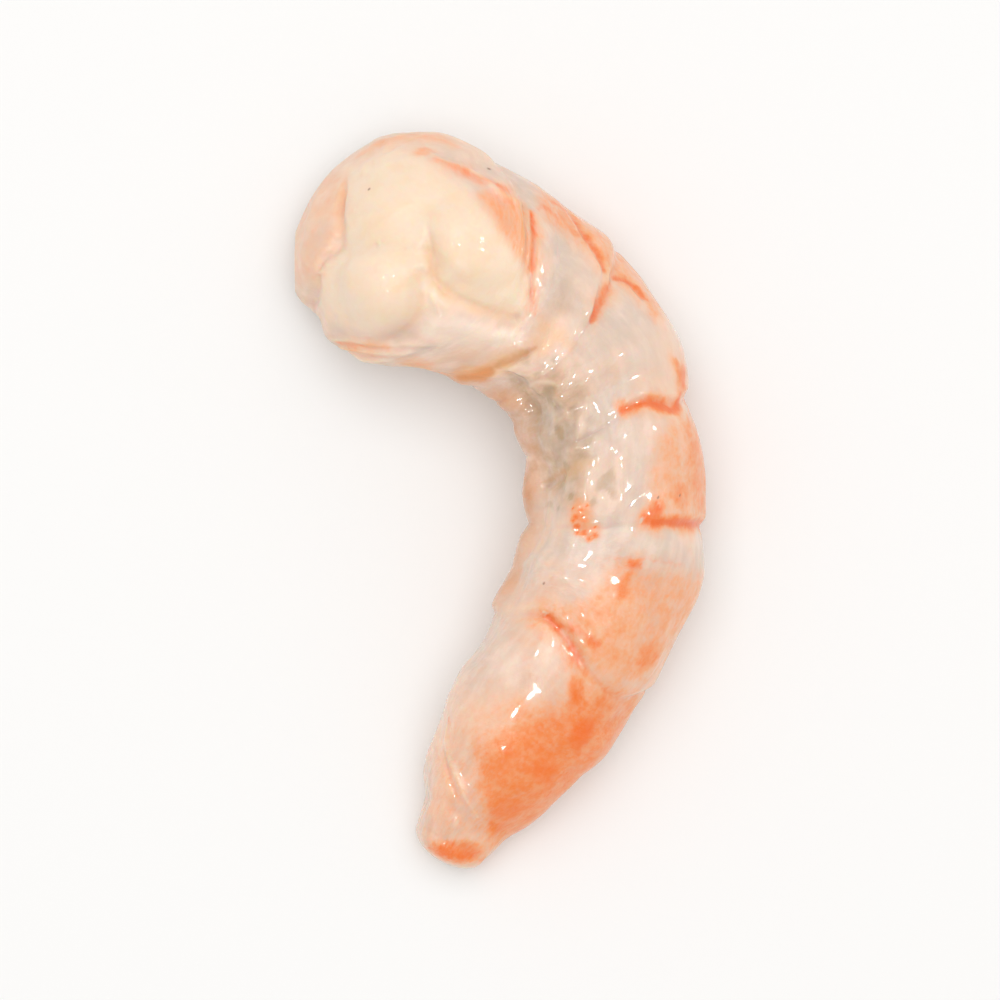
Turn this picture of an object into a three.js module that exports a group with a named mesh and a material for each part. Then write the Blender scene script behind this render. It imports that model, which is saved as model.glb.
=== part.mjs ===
// A raw peeled shrimp, head and tail fan off, lying curled on a flat surface with its belly
// rolled a little upwards. Millimetres and degrees, +Z up. Seen from above, X runs to the right
// and Y runs from the tail tip up to the head end. The origin is under the middle of the piece.
import * as THREE from "three";
import { mergeVertices } from "three/addons/utils/BufferGeometryUtils.js";

// Stations along the body, from the cut at the head end to the tail. x and y place the middle
// of the body seen from above. depth is back to belly, thick is side to side. roll turns the
// belly up, tilt leans the section back, so that the cut faces upwards, and lift raises it.
const STATIONS = [
  { x: -7.8, y: 21.0, depth: 18.8, thick: 21.8, roll: 20, tilt: 58, lift: 1.8 },
  { x: -1.8, y: 18.9, depth: 17.8, thick: 15.8, roll: 28, tilt: 42, lift: 0.8 },
  { x: 3.6, y: 15.5, depth: 16.6, thick: 13.0, roll: 38, tilt: 20, lift: 0.2 },
  { x: 7.8, y: 10.2, depth: 16.0, thick: 12.6, roll: 42, tilt: 5, lift: 0 },
  { x: 9.8, y: 3.0, depth: 15.6, thick: 12.6, roll: 40, tilt: 0, lift: 0 },
  { x: 9.5, y: -4.6, depth: 15.6, thick: 12.8, roll: 32, tilt: 0, lift: 0 },
  { x: 6.3, y: -12.3, depth: 15.0, thick: 12.4, roll: 24, tilt: 0, lift: 0 },
  { x: 1.6, y: -19.4, depth: 13.0, thick: 10.6, roll: 17, tilt: 0, lift: 0 },
  { x: -1.9, y: -24.8, depth: 9.8, thick: 8.2, roll: 12, tilt: 0, lift: 0 },
  { x: -4.2, y: -28.6, depth: 6.0, thick: 5.4, roll: 10, tilt: 0, lift: 0 },
];
const FLATTENING = 0.8; // how far the soft underside sinks flat where it rests

// The body segments. Each ends in a seam, given as a distance along the middle from the cut.
const SEAMS = [0, 14.6, 24.2, 32.4, 43.4, Infinity];
const SEAM_LEAN = 0.8; // seams run this far forward at the back, and as far aft at the belly
const LEAN_FADE = 6; // over which the lean grows from nothing behind the cut and at the tail
const SEAM_DEPTH = 0.4; // step where one segment laps over the next, on the back
const BELLY_SEAM_SHARE = 0.4; // how much of that step is left at the belly
const SEGMENT_RISE = 0.3; // share of a segment over which it swells behind the seam
const SEGMENT_FALL = 0.08; // share over which its rear edge rounds down

// The belly: a groove along its middle, between two rows of muscle lobes.
const LOBE = { height: 0.5, fromBelly: 42, width: 24 };
const GROOVE = { depth: 0.9, width: 15 };
const BELLY_STARTS = { from: 4, over: 8 }; // behind the cut
const BELLY_ENDS = { from: 33, over: 18 }; // the tail segment's belly is smooth

// The tail's rounded end, with a faint crease before it.
const TIP_LENGTH = 1.8;
const TIP_PINCH = { depth: 0.35, beforeEnd: 2.6, width: 1.1 };

// The cut at the head end. Angles go round the body from its back over its upper side.
const RIM_LIP = { height: 0.8, width: 1.6 }; // the upper rim stands out over the neck
const RIM_HOLLOW = { depth: 1.3, at: 228, width: 20, length: 6 }; // low on the belly side
const FACE_DOME = 3.6; // how far the meat swells out of the cut
const FACE_RELIEF = 3.0; // height of the lobes on that swelling
const FACE_EDGE = 0.5; // share of the face, at its edge, where they flatten out

// Those lobes: middle, radii and height, as shares of the face's half width and relief.
// p points to the back of the shrimp and q up the sloping face.
const FACE_LOBES = [
  { p: -0.05, q: -0.34, rp: 0.66, rq: 0.48, height: 1.0 },
  { p: -0.02, q: 0.52, rp: 0.5, rq: 0.4, height: 0.95 },
  { p: -0.68, q: 0.2, rp: 0.3, rq: 0.72, height: 0.85 },
  { p: 0.62, q: 0.05, rp: 0.36, rq: 0.72, height: 0.85 },
];
const LOBE_ROUNDNESS = 2.5; // higher for flatter tops
const LOBE_BLEND = 8; // higher for sharper creases between lobes

// Slow unevenness of the flesh: radians per millimetre along the body, and waves round it.
const UNEVENNESS = [
  { height: 0.14, along: 0.9, round: 2, phase: 0 },
  { height: 0.14, along: 0.43, round: -3, phase: 1 },
];

// Mesh fineness
const COLUMNS = 48;
const FACE_ROWS = 12;
const SEGMENT_ROWS = 10;
const TAIL_ROWS = 20;
const TIP_ROWS = 4;
const LENGTH_DIVISIONS = 600;

const radians = THREE.MathUtils.degToRad;
const smooth = (t) => THREE.MathUtils.smoothstep(t, 0, 1);
const bell = (distance, width) => Math.exp(-((distance / width) ** 2));

// The middle line seen from above, and the sizes that go with it, share one parameter.
function curveThrough(vectors) {
  return new THREE.CatmullRomCurve3(vectors, false, "catmullrom", 0.5);
}
const route = curveThrough(STATIONS.map((s) => new THREE.Vector3(s.x, s.y, 0)));
const girth = curveThrough(STATIONS.map((s) => new THREE.Vector3(s.depth, s.thick, 0)));
const lean = curveThrough(STATIONS.map((s) => new THREE.Vector3(s.roll, s.tilt, s.lift)));
route.arcLengthDivisions = LENGTH_DIVISIONS;
const ROUTE_LENGTH = route.getLength();

// The section at a distance along the middle: its centre, half sizes and axes.
function sectionAt(distance) {
  const t = route.getUtoTmapping(THREE.MathUtils.clamp(distance / ROUTE_LENGTH, 0, 1));
  const half = girth.getPoint(t).multiplyScalar(0.5);
  const turn = lean.getPoint(t);
  const roll = radians(turn.x);
  const tilt = radians(turn.y);
  const tangent = route.getTangent(t);
  const outer = new THREE.Vector3(-tangent.y, tangent.x, 0);
  const up = new THREE.Vector3(0, 0, Math.cos(tilt)).addScaledVector(tangent, Math.sin(tilt));
  const back = outer.clone().multiplyScalar(Math.cos(roll)).addScaledVector(up, -Math.sin(roll));
  const side = up.clone().multiplyScalar(Math.cos(roll)).addScaledVector(outer, Math.sin(roll));
  const low = Math.hypot(half.x * back.z, half.y * side.z);
  const centre = route.getPoint(t).setZ(low + turn.z - FLATTENING);
  return { centre, back, side, tangent, half };
}

// The step from each segment to the next, and swell, which is 0 at a seam and 1 in between.
function segmentRelief(row, angle) {
  const index = SEAMS.findLastIndex((seam) => seam <= row);
  const isTail = index === SEAMS.length - 2;
  const rear = isTail ? ROUTE_LENGTH + TIP_LENGTH : SEAMS[index + 1];
  const through = (row - SEAMS[index]) / (rear - SEAMS[index]);
  const rise = smooth(through / SEGMENT_RISE);
  const fall = isTail ? 1 : smooth((1 - through) / SEGMENT_FALL);
  const backShare = (1 + Math.cos(angle)) / 2;
  const depth = SEAM_DEPTH * THREE.MathUtils.lerp(BELLY_SEAM_SHARE, 1, backShare);
  return { step: depth * (rise * fall - 0.5), swell: Math.sqrt(Math.sin(Math.PI * through)) };
}

// The lobes and the groove of the belly.
function bellyRelief(row, angle, swell) {
  const fromBelly = Math.abs(angle - Math.PI);
  const lobe = swell * bell(fromBelly - radians(LOBE.fromBelly), radians(LOBE.width));
  const groove = bell(fromBelly, radians(GROOVE.width));
  const start = smooth((row - BELLY_STARTS.from) / BELLY_STARTS.over);
  const end = 1 - smooth((row - BELLY_ENDS.from) / BELLY_ENDS.over);
  return start * end * (LOBE.height * lobe - GROOVE.depth * groove);
}

// The rim of the cut and the crease at the tail.
function endRelief(row, angle) {
  const upperShare = smooth(0.8 * (1 + Math.sin(angle)));
  const lip = RIM_LIP.height * bell(row, RIM_LIP.width) * upperShare;
  const aside = bell(angle - radians(RIM_HOLLOW.at), radians(RIM_HOLLOW.width));
  const hollow = RIM_HOLLOW.depth * bell(row, RIM_HOLLOW.length) * aside;
  const pinch = TIP_PINCH.depth * bell(row - (ROUTE_LENGTH - TIP_PINCH.beforeEnd), TIP_PINCH.width);
  return lip - hollow - pinch;
}

// How far the flesh stands out from the smooth tube.
function relief(row, angle) {
  const { step, swell } = segmentRelief(row, angle);
  const uneven = UNEVENNESS.map((w) => w.height * Math.sin(w.along * row + w.round * angle + w.phase));
  const slow = uneven.reduce((sum, height) => sum + height, 0);
  return step + bellyRelief(row, angle, swell) + endRelief(row, angle) + slow;
}

// A point of the skin. Rows lean forward at the back of the shrimp, as its segments do.
function skinPoint(row, angle) {
  const lean = SEAM_LEAN * smooth(row / LEAN_FADE) * smooth((ROUTE_LENGTH - row) / LEAN_FADE);
  const { centre, back, side, half } = sectionAt(row - lean * Math.cos(angle));
  const height = relief(row, angle);
  return centre
    .addScaledVector(back, (half.x + height) * Math.cos(angle))
    .addScaledVector(side, (half.y + height) * Math.sin(angle));
}

// The height of the lobes at a place on the cut face, with soft creases between them.
function lobeHeight(p, q) {
  const sum = FACE_LOBES.reduce((total, lobe) => {
    const off = Math.hypot((p - lobe.p) / lobe.rp, (q - lobe.q) / lobe.rq);
    const height = lobe.height * Math.exp(-(off ** LOBE_ROUNDNESS));
    return total + height ** LOBE_BLEND;
  }, 0);
  return sum ** (1 / LOBE_BLEND);
}

// The cut at the head end: reach is 0 at its middle and 1 at its rim.
function facePoint(reach, angle) {
  const { centre, back, side } = sectionAt(0);
  const outward = new THREE.Vector3().crossVectors(side, back).normalize();
  const lobes = lobeHeight(reach * Math.cos(angle), reach * Math.sin(angle));
  const dome = FACE_DOME * Math.sqrt(1 - reach * reach);
  const height = dome + FACE_RELIEF * lobes * smooth((1 - reach) / FACE_EDGE);
  return centre.lerp(skinPoint(0, angle), reach).addScaledVector(outward, height);
}

// The tail's rounded end: turn is 0 at the last section and 1 at the very tip.
function tipPoint(turn, angle) {
  const { centre, tangent } = sectionAt(ROUTE_LENGTH);
  const bend = (turn * Math.PI) / 2;
  return centre
    .lerp(skinPoint(ROUTE_LENGTH, angle), Math.cos(bend))
    .addScaledVector(tangent, TIP_LENGTH * Math.sin(bend));
}

// The rows of the skin, closest together at the seams.
function skinRows() {
  const ends = SEAMS.slice(0, -1).concat(ROUTE_LENGTH);
  const rows = [];
  for (let i = 0; i < ends.length - 1; i += 1) {
    const count = i === ends.length - 2 ? TAIL_ROWS : SEGMENT_ROWS;
    for (let j = 0; j < count; j += 1) {
      const share = (1 - Math.cos((Math.PI * j) / count)) / 2;
      rows.push(ends[i] + (ends[i + 1] - ends[i]) * share);
    }
  }
  return rows.concat(ROUTE_LENGTH);
}

// One function for each row of the mesh, from the middle of the cut to the tip of the tail.
function rowMakers() {
  const makers = [];
  for (let i = 0; i < FACE_ROWS; i += 1) {
    makers.push((angle) => facePoint(Math.sin((i / FACE_ROWS) * (Math.PI / 2)), angle));
  }
  for (const row of skinRows()) {
    makers.push((angle) => skinPoint(row, angle));
  }
  for (let i = 1; i <= TIP_ROWS; i += 1) {
    makers.push((angle) => tipPoint(i / TIP_ROWS, angle));
  }
  return makers;
}

// A sphere whose rows of latitude are moved onto the rows of the shrimp.
function shrimpGeometry() {
  const rows = rowMakers();
  const geometry = new THREE.SphereGeometry(1, COLUMNS, rows.length - 1);
  const position = geometry.getAttribute("position");
  for (let i = 0; i < position.count; i += 1) {
    const row = Math.floor(i / (COLUMNS + 1));
    const column = (COLUMNS - (i % (COLUMNS + 1))) % COLUMNS;
    const point = rows[row]((2 * Math.PI * column) / COLUMNS);
    position.setXYZ(i, point.x, point.y, Math.max(point.z, 0));
  }
  geometry.deleteAttribute("normal");
  geometry.deleteAttribute("uv");
  return mergeVertices(geometry);
}

const flesh = new THREE.MeshStandardMaterial({ color: 0xefc9ae, roughness: 0.3, metalness: 0 });
const shrimp = new THREE.Mesh(shrimpGeometry(), flesh);
shrimp.name = "shrimp";

const group = new THREE.Group();
group.add(shrimp);
export default group;
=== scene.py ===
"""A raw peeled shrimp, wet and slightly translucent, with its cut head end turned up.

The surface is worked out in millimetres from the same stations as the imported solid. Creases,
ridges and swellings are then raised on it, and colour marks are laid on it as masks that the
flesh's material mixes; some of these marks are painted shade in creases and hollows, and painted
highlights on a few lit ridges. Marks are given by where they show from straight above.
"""

import math

import bpy
import numpy as np
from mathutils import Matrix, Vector, noise


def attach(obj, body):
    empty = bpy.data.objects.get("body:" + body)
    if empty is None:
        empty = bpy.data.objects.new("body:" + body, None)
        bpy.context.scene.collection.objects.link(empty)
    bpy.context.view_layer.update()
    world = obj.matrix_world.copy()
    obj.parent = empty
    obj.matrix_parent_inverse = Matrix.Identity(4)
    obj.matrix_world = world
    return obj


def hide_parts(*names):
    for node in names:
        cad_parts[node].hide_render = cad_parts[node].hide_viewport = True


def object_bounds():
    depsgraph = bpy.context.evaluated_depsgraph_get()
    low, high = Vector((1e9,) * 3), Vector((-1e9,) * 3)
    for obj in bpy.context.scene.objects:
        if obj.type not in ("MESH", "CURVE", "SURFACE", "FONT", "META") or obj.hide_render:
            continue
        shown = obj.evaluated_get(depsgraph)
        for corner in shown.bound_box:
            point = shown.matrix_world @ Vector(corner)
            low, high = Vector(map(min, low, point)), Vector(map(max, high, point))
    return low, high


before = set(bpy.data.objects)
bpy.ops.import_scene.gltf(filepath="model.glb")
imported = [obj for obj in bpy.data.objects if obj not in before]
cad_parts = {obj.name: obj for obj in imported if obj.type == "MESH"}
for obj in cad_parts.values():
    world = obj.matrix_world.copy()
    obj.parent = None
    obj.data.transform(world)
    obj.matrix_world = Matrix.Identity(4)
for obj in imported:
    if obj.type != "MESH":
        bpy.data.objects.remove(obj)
cad_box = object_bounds()

MM = 0.001

# The body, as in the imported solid
# x and y place the middle of the body seen from above; depth is back to belly, thick is side
# to side; roll turns the belly up, tilt leans the section back and lift raises it.
STATIONS = np.array(
    [
        # x, y, depth, thick, roll, tilt, lift
        (-7.8, 21.0, 18.8, 21.8, 20, 58, 1.8),
        (-1.8, 18.9, 17.8, 15.8, 28, 42, 0.8),
        (3.6, 15.5, 16.6, 13.0, 38, 20, 0.2),
        (7.8, 10.2, 16.0, 12.6, 42, 5, 0),
        (9.8, 3.0, 15.6, 12.6, 40, 0, 0),
        (9.5, -4.6, 15.6, 12.8, 32, 0, 0),
        (6.3, -12.3, 15.0, 12.4, 24, 0, 0),
        (1.6, -19.4, 13.0, 10.6, 17, 0, 0),
        (-1.9, -24.8, 9.8, 8.2, 12, 0, 0),
        (-4.2, -28.6, 6.0, 5.4, 10, 0, 0),
    ]
)
FLATTENING = 0.8
SEAMS = np.array([0, 14.6, 24.2, 32.4, 43.4])
SEAM_LEAN = 0.8
LEAN_FADE = 6
SEAM_DEPTH = 0.4
BELLY_SEAM_SHARE = 0.06
SEGMENT_RISE = 0.3
SEGMENT_FALL = 0.08
LOBE_HEIGHT, LOBE_FROM_BELLY, LOBE_WIDTH = 0.5, 42, 24
GROOVE_DEPTH, GROOVE_WIDTH = 0.9, 15
BELLY_STARTS, BELLY_GROWS = 4, 8
BELLY_ENDS, BELLY_FADES = 33, 18
TIP_LENGTH = 1.8
PINCH_DEPTH, PINCH_BEFORE_END, PINCH_WIDTH = 0.35, 2.6, 1.1
LIP_HEIGHT, LIP_WIDTH = 0.8, 1.6
HOLLOW_DEPTH, HOLLOW_AT, HOLLOW_WIDTH, HOLLOW_LENGTH = 1.3, 228, 20, 6
# The fuller outer side of the neck: height, row, length, degrees round from the back and spread
NECK_RISE, NECK_AT, NECK_LENGTH, NECK_AROUND, NECK_WIDTH = 1.0, 15.5, 5.5, 30, 45
FACE_DOME = 4.4
FACE_RELIEF = 2.0
FACE_STARTS, FACE_GROWS = 0.1, 0.5  # where the lobes rise, as shares of the way in from the rim
ROUND_HANDLE = 1.66  # makes a quarter of an ellipse
# Lobes of the cut face: p, q, radius along p, radius along q, height
FACE_LOBES = (
    (0.3, 0.1, 0.62, 0.6, 0.95),
    (-0.42, 0.08, 0.42, 0.44, 1.0),
    (-0.02, 0.7, 0.46, 0.34, 0.9),
    (-0.7, 0.5, 0.26, 0.42, 0.75),
    (-0.1, -0.55, 0.8, 0.36, 0.7),
)
LOBE_ROUNDNESS = 2
LOBE_BLEND = 4
UNEVEN_HEIGHT = 0.14

# The finer relief of the flesh
SEAM_WANDER = 0.5  # how far a seam strays from a plain ring
# Where seams bend most: row, degrees round from the back, spread in degrees, and shift
SEAM_BENDS = (
    (24.2, 105, 30, -1.6),
    (24.2, 45, 25, -0.6),
    (43.4, 60, 40, 1.6),
    (43.4, 140, 35, -1.8),
)
BEND_LENGTH = 5
SEAM_FADES = (90, 88, 78, 140)  # degrees from the back at which each seam starts to fade
SEAM_FADE_WIDTH = 40
CREASE_DEPTH, CREASE_WIDTH = 0.16, 0.35  # fold under the edge of each segment
CORD_HEIGHT, CORD_WIDTH = 0.25, 5  # the nerve cord in the belly groove, degrees wide
GUT_DEPTH, GUT_WIDTH = 0.3, 5  # the groove along the back
GUT_STARTS, GUT_GROWS, GUT_ENDS, GUT_FADES = 3, 6, 12, 10  # from the cut, and from the tail's end
LUMPS = ((6.0, 0.3), (2.4, 0.12), (1.1, 0.045))  # size and height of the flesh's unevenness
BAR_RADIUS = 7.0  # of the straight round bar on which the flesh's textures are laid
FACE_BAR = 8.0  # how far that bar bulges at the cut face

# Relief strokes, seen from above: height (less than 0 for a crease), width and points
RELIEF_STROKES = (
    # creases between the lobes of the cut meat
    (-0.4, 1.2, ((-5.5, 21.4), (-5.5, 19.2), (-4.7, 17.3), (-2.4, 16.0), (0.2, 15.2), (2.4, 14.9))),
    (-0.3, 0.5, ((-5.8, 22.9), (-5.6, 19.8), (-4.9, 17.6), (-2.4, 16.0), (0.2, 15.1), (2.4, 14.9))),
    (-0.5, 1.0, ((-6.3, 19.2), (-6.2, 17.6), (-6.5, 15.6), (-7.7, 14.0), (-9.7, 12.8))),
    (-0.3, 1.2, ((-14.2, 21.0), (-12.6, 21.2), (-11.0, 20.6), (-9.6, 20.9))),
    # edge between the meat and the skin round it
    (-0.45, 0.5, ((-12.8, 27.0), (-13.2, 24.4), (-13.3, 22.1), (-13.6, 20.9),
                  (-14.6, 20.1), (-15.2, 18.9))),
    (0.25, 1.2, ((-14.8, 26.6), (-15.6, 24.0), (-15.8, 21.6), (-16.3, 19.4))),
    (0.25, 0.35, ((-6.1, 29.0), (-4.7, 28.0), (-1.6, 26.7), (0.2, 25.2), (2.2, 24.2))),
    # the notch where the left edge of the skin meets the lower lobe
    (-0.55, 0.7, ((-15.1, 19.0), (-15.3, 17.8), (-15.6, 16.8), (-16.4, 16.0))),
    # the fold of skin under the meat, and the crease that it lies over
    (0.5, 1.6, ((-6.2, 14.4), (-3.4, 14.2), (-0.6, 13.7), (2.0, 13.5))),
    (-0.35, 0.9, ((-6.6, 10.6), (-3.7, 10.5), (-1.6, 11.1), (0.6, 11.5), (3.0, 12.4))),
    # torn layers at the lower edge of the cut
    (0.22, 0.26, ((-14.4, 13.9), (-12.3, 13.4), (-9.7, 12.9), (-7.4, 12.9), (-4.8, 12.8))),
    (0.25, 0.26, ((-13.8, 13.1), (-11.8, 12.6), (-9.2, 12.2), (-7.0, 12.2))),
    (0.22, 0.26, ((-13.0, 12.4), (-11.2, 11.7), (-9.0, 11.7))),
    # the collar and the ridges of the first segment
    (-0.3, 0.35, ((2.7, 23.9), (3.1, 21.4), (2.8, 18.6), (2.8, 16.3))),
    (-0.3, 0.45, ((5.5, 24.9), (7.0, 22.6), (8.3, 20.4), (8.9, 18.6), (8.0, 15.8), (7.5, 14.3))),
    (-0.25, 0.4, ((9.0, 18.6), (10.8, 18.5), (11.6, 17.6), (12.3, 16.7))),
    # skin drawn together at the belly
    (0.15, 0.4, ((-0.2, 11.1), (0.9, 10.7), (2.7, 10.2), (4.0, 10.5))),
    (0.12, 0.4, ((2.2, 9.2), (3.4, 9.6), (4.9, 9.4))),
    (-0.25, 0.6, ((1.2, 9.9), (2.9, 9.4), (4.6, 8.7))),
    (-0.25, 0.7, ((4.4, 7.6), (5.4, 6.3), (5.6, 4.9))),
    (-0.2, 0.4, ((3.6, 1.0), (4.6, 1.3), (5.8, 2.2))),
    # the sharp edge of the fourth segment, and its corner on the side
    (-0.1, 0.4, ((3.9, -9.4), (4.5, -10.5), (5.7, -11.7), (6.2, -12.7), (6.8, -13.9))),
    # folds along the underside of the tail
    (0.2, 0.3, ((-4.1, -18.1), (-4.4, -20.8), (-3.6, -22.8), (-2.7, -24.8), (-1.4, -26.8))),
    (-0.2, 0.3, ((-4.6, -20.5), (-4.2, -22.8), (-3.4, -24.9))),
)

# Swellings, seen from above: x, y, radius and height
SWELLINGS = (
    (-10.2, 17.4, 3.8, 1.0),  # the round lobe at the lower left of the cut
    (-1.6, 20.3, 3.2, 0.5),  # the lobe beside the collar
    (-14.4, 13.7, 1.2, 0.5),  # the corner of skin below the lower lobe
    (-4.4, 10.0, 2.2, 0.5),  # the skin below the neck
    (9.9, 14.0, 3.0, 0.3),
    (3.0, 7.8, 1.6, -0.4),
    (7.5, 4.5, 1.8, 0.25),
    (9.0, 0.2, 1.6, 0.2),
    (12.0, -3.8, 2.4, 0.25),
    (9.8, -10.0, 3.0, 0.25),
    (8.6, -17.2, 2.0, 0.25),
    (1.8, -16.0, 2.8, 0.3),
)

# Crumpled places, seen from above: x, y, radius, size of the lumps and their height
CRUMPLES = (
    (3.4, 9.0, 3.6, 1.6, 0.4),
    (5.4, 5.4, 3.6, 1.3, 0.32),
    (6.2, 1.0, 4.2, 1.2, 0.2),
    (-6.0, 12.4, 3.4, 1.6, 0.2),
    (-13.6, 14.6, 2.4, 1.2, 0.25),
    (-9.4, 29.6, 3.4, 1.2, 0.3),
    (-2.6, -27.6, 3.0, 1.3, 0.18),
)

CRUMPLE_SEED = 40
SHADED_CRUMPLES = 3  # how many of them, from the first, have painted shade in their hollows
# strength and contrast of the grey shade painted in those hollows
VALLEY_SHADE_STRENGTH, VALLEY_SHADE_CONTRAST = 0.9, 2.5

# Outline of the head end, which is less wet than the rest, seen from above
MATTE = (
    (-20.0, 33.0),
    (0.0, 33.0),
    (3.4, 25.0),
    (3.4, 14.6),
    (0.0, 12.2),
    (-8.0, 10.0),
    (-20.0, 10.0),
)
MATTE_SOFTNESS = MEAT_SOFTNESS = 3.0

# Outline of the cream-coloured meat in the cut, seen from above
MEAT = (
    (-12.3, 27.7),
    (-12.8, 25.7),
    (-12.9, 22.6),
    (-13.2, 20.6),
    (-14.9, 19.1),
    (-15.0, 17.1),
    (-14.3, 15.2),
    (-12.0, 13.9),
    (-9.2, 13.9),
    (-6.9, 14.6),
    (-4.8, 15.8),
    (-1.7, 15.0),
    (1.2, 14.9),
    (2.4, 15.8),
    (2.3, 19.6),
    (0.6, 22.0),
    (-1.6, 24.4),
    (-3.7, 26.7),
    (-5.7, 28.2),
    (-9.0, 29.2),
)

# Colour areas by mask, seen from above: strength, softness and outline
COLOUR_AREAS = {
    "orange": (
        # skin beside the cut
        (0.55, 1.6, ((-2.1, 25.2), (0.2, 26.0), (2.4, 24.4), (3.0, 21.4), (2.7, 18.4),
                     (1.2, 20.1), (-0.6, 22.8))),
        (0.24, 2.4, ((-15.6, 28.0), (-12.6, 28.2), (-12.7, 22.6), (-13.6, 20.6), (-15.0, 18.4),
                     (-20.0, 17.6), (-20.0, 24.4))),
        # upper side of the neck
        (0.62, 2.4, ((2.9, 26.6), (7.0, 26.0), (13.0, 20.0), (15.5, 16.0), (13.0, 14.8),
                     (10.8, 17.2), (9.0, 18.4), (6.8, 20.8), (3.6, 23.2))),
        # side of the third segment
        (0.52, 3.0, ((12.2, 0.6), (13.0, 5.0), (14.6, 7.6), (17.4, 7.6), (19.4, 0.0),
                     (18.6, -2.2), (11.6, -1.9))),
        (0.75, 3.0, ((15.2, 0.6), (14.8, 6.4), (17.0, 9.6), (20.0, 6.0), (20.0, -1.9),
                     (16.0, -1.9))),
        (0.35, 2.0, ((14.6, 12.6), (16.8, 12.6), (16.8, 7.0), (14.4, 7.4))),
        # side of the fourth segment
        (0.56, 2.4, ((3.8, -9.5), (5.0, -8.5), (7.0, -8.4), (8.4, -6.6), (9.6, -4.9),
                     (11.8, -4.9), (12.6, -8.0), (13.6, -10.6), (15.6, -10.6), (14.6, -14.2),
                     (12.4, -16.0), (9.8, -15.5), (6.6, -14.0))),
        (0.55, 3.4, ((8.6, -5.6), (16.4, -5.6), (20.0, -8.0), (17.0, -15.0), (8.4, -14.0))),
        # tail
        (0.82, 5.4, ((-2.6, -21.4), (-0.8, -18.8), (2.6, -17.4), (6.2, -15.6), (9.0, -14.6),
                     (13.0, -16.0), (13.0, -22.0), (8.5, -27.5), (4.0, -32.0), (-1.4, -29.6),
                     (-2.2, -25.0))),
        (0.42, 5.0, ((-5.8, -19.0), (-1.0, -16.0), (4.0, -16.0), (4.0, -22.0), (-1.0, -30.0),
                     (-7.0, -29.0))),
        (0.2, 4.0, ((1.0, -5.0), (17.5, -4.0), (17.0, -10.0), (8.0, -22.0), (0.0, -31.0),
                    (-7.0, -29.0), (-5.0, -16.0))),
    ),
    "pale_tint_and_highlight": (
        # painted highlight on the lit top of the fold under the meat
        (0.9, 1.6, ((-6.4, 15.3), (-3.4, 15.1), (-0.6, 14.3), (2.4, 14.0), (2.2, 12.6),
                    (-2.0, 12.5), (-6.4, 12.9))),
        (0.35, 2.4, ((7.6, -15.4), (11.4, -16.2), (10.6, -18.6), (8.6, -17.6))),
        (0.4, 2.6, ((11.6, -2.4), (17.6, -2.4), (17.4, -4.8), (11.0, -4.6))),
        (0.35, 4.0, ((0.0, -12.0), (3.0, -13.0), (0.6, -17.0), (-2.4, -22.0), (-7.0, -24.0),
                     (-7.0, -18.0))),
    ),
    "grey_tint_and_shade": (
        (0.3, 3.0, ((8.8, 14.4), (13.0, 14.0), (14.4, 9.6), (9.0, 8.6), (6.6, 11.0))),
        (0.62, 3.6, ((0.6, 10.2), (5.0, 11.4), (7.6, 10.0), (8.6, 5.4), (8.0, -3.0),
                     (4.6, -1.0), (1.8, 5.4))),
        (0.45, 3.0,((3.6, 18.8), (6.6, 18.8), (7.2, 14.8), (3.8, 14.6))),
    ),
}

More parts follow.
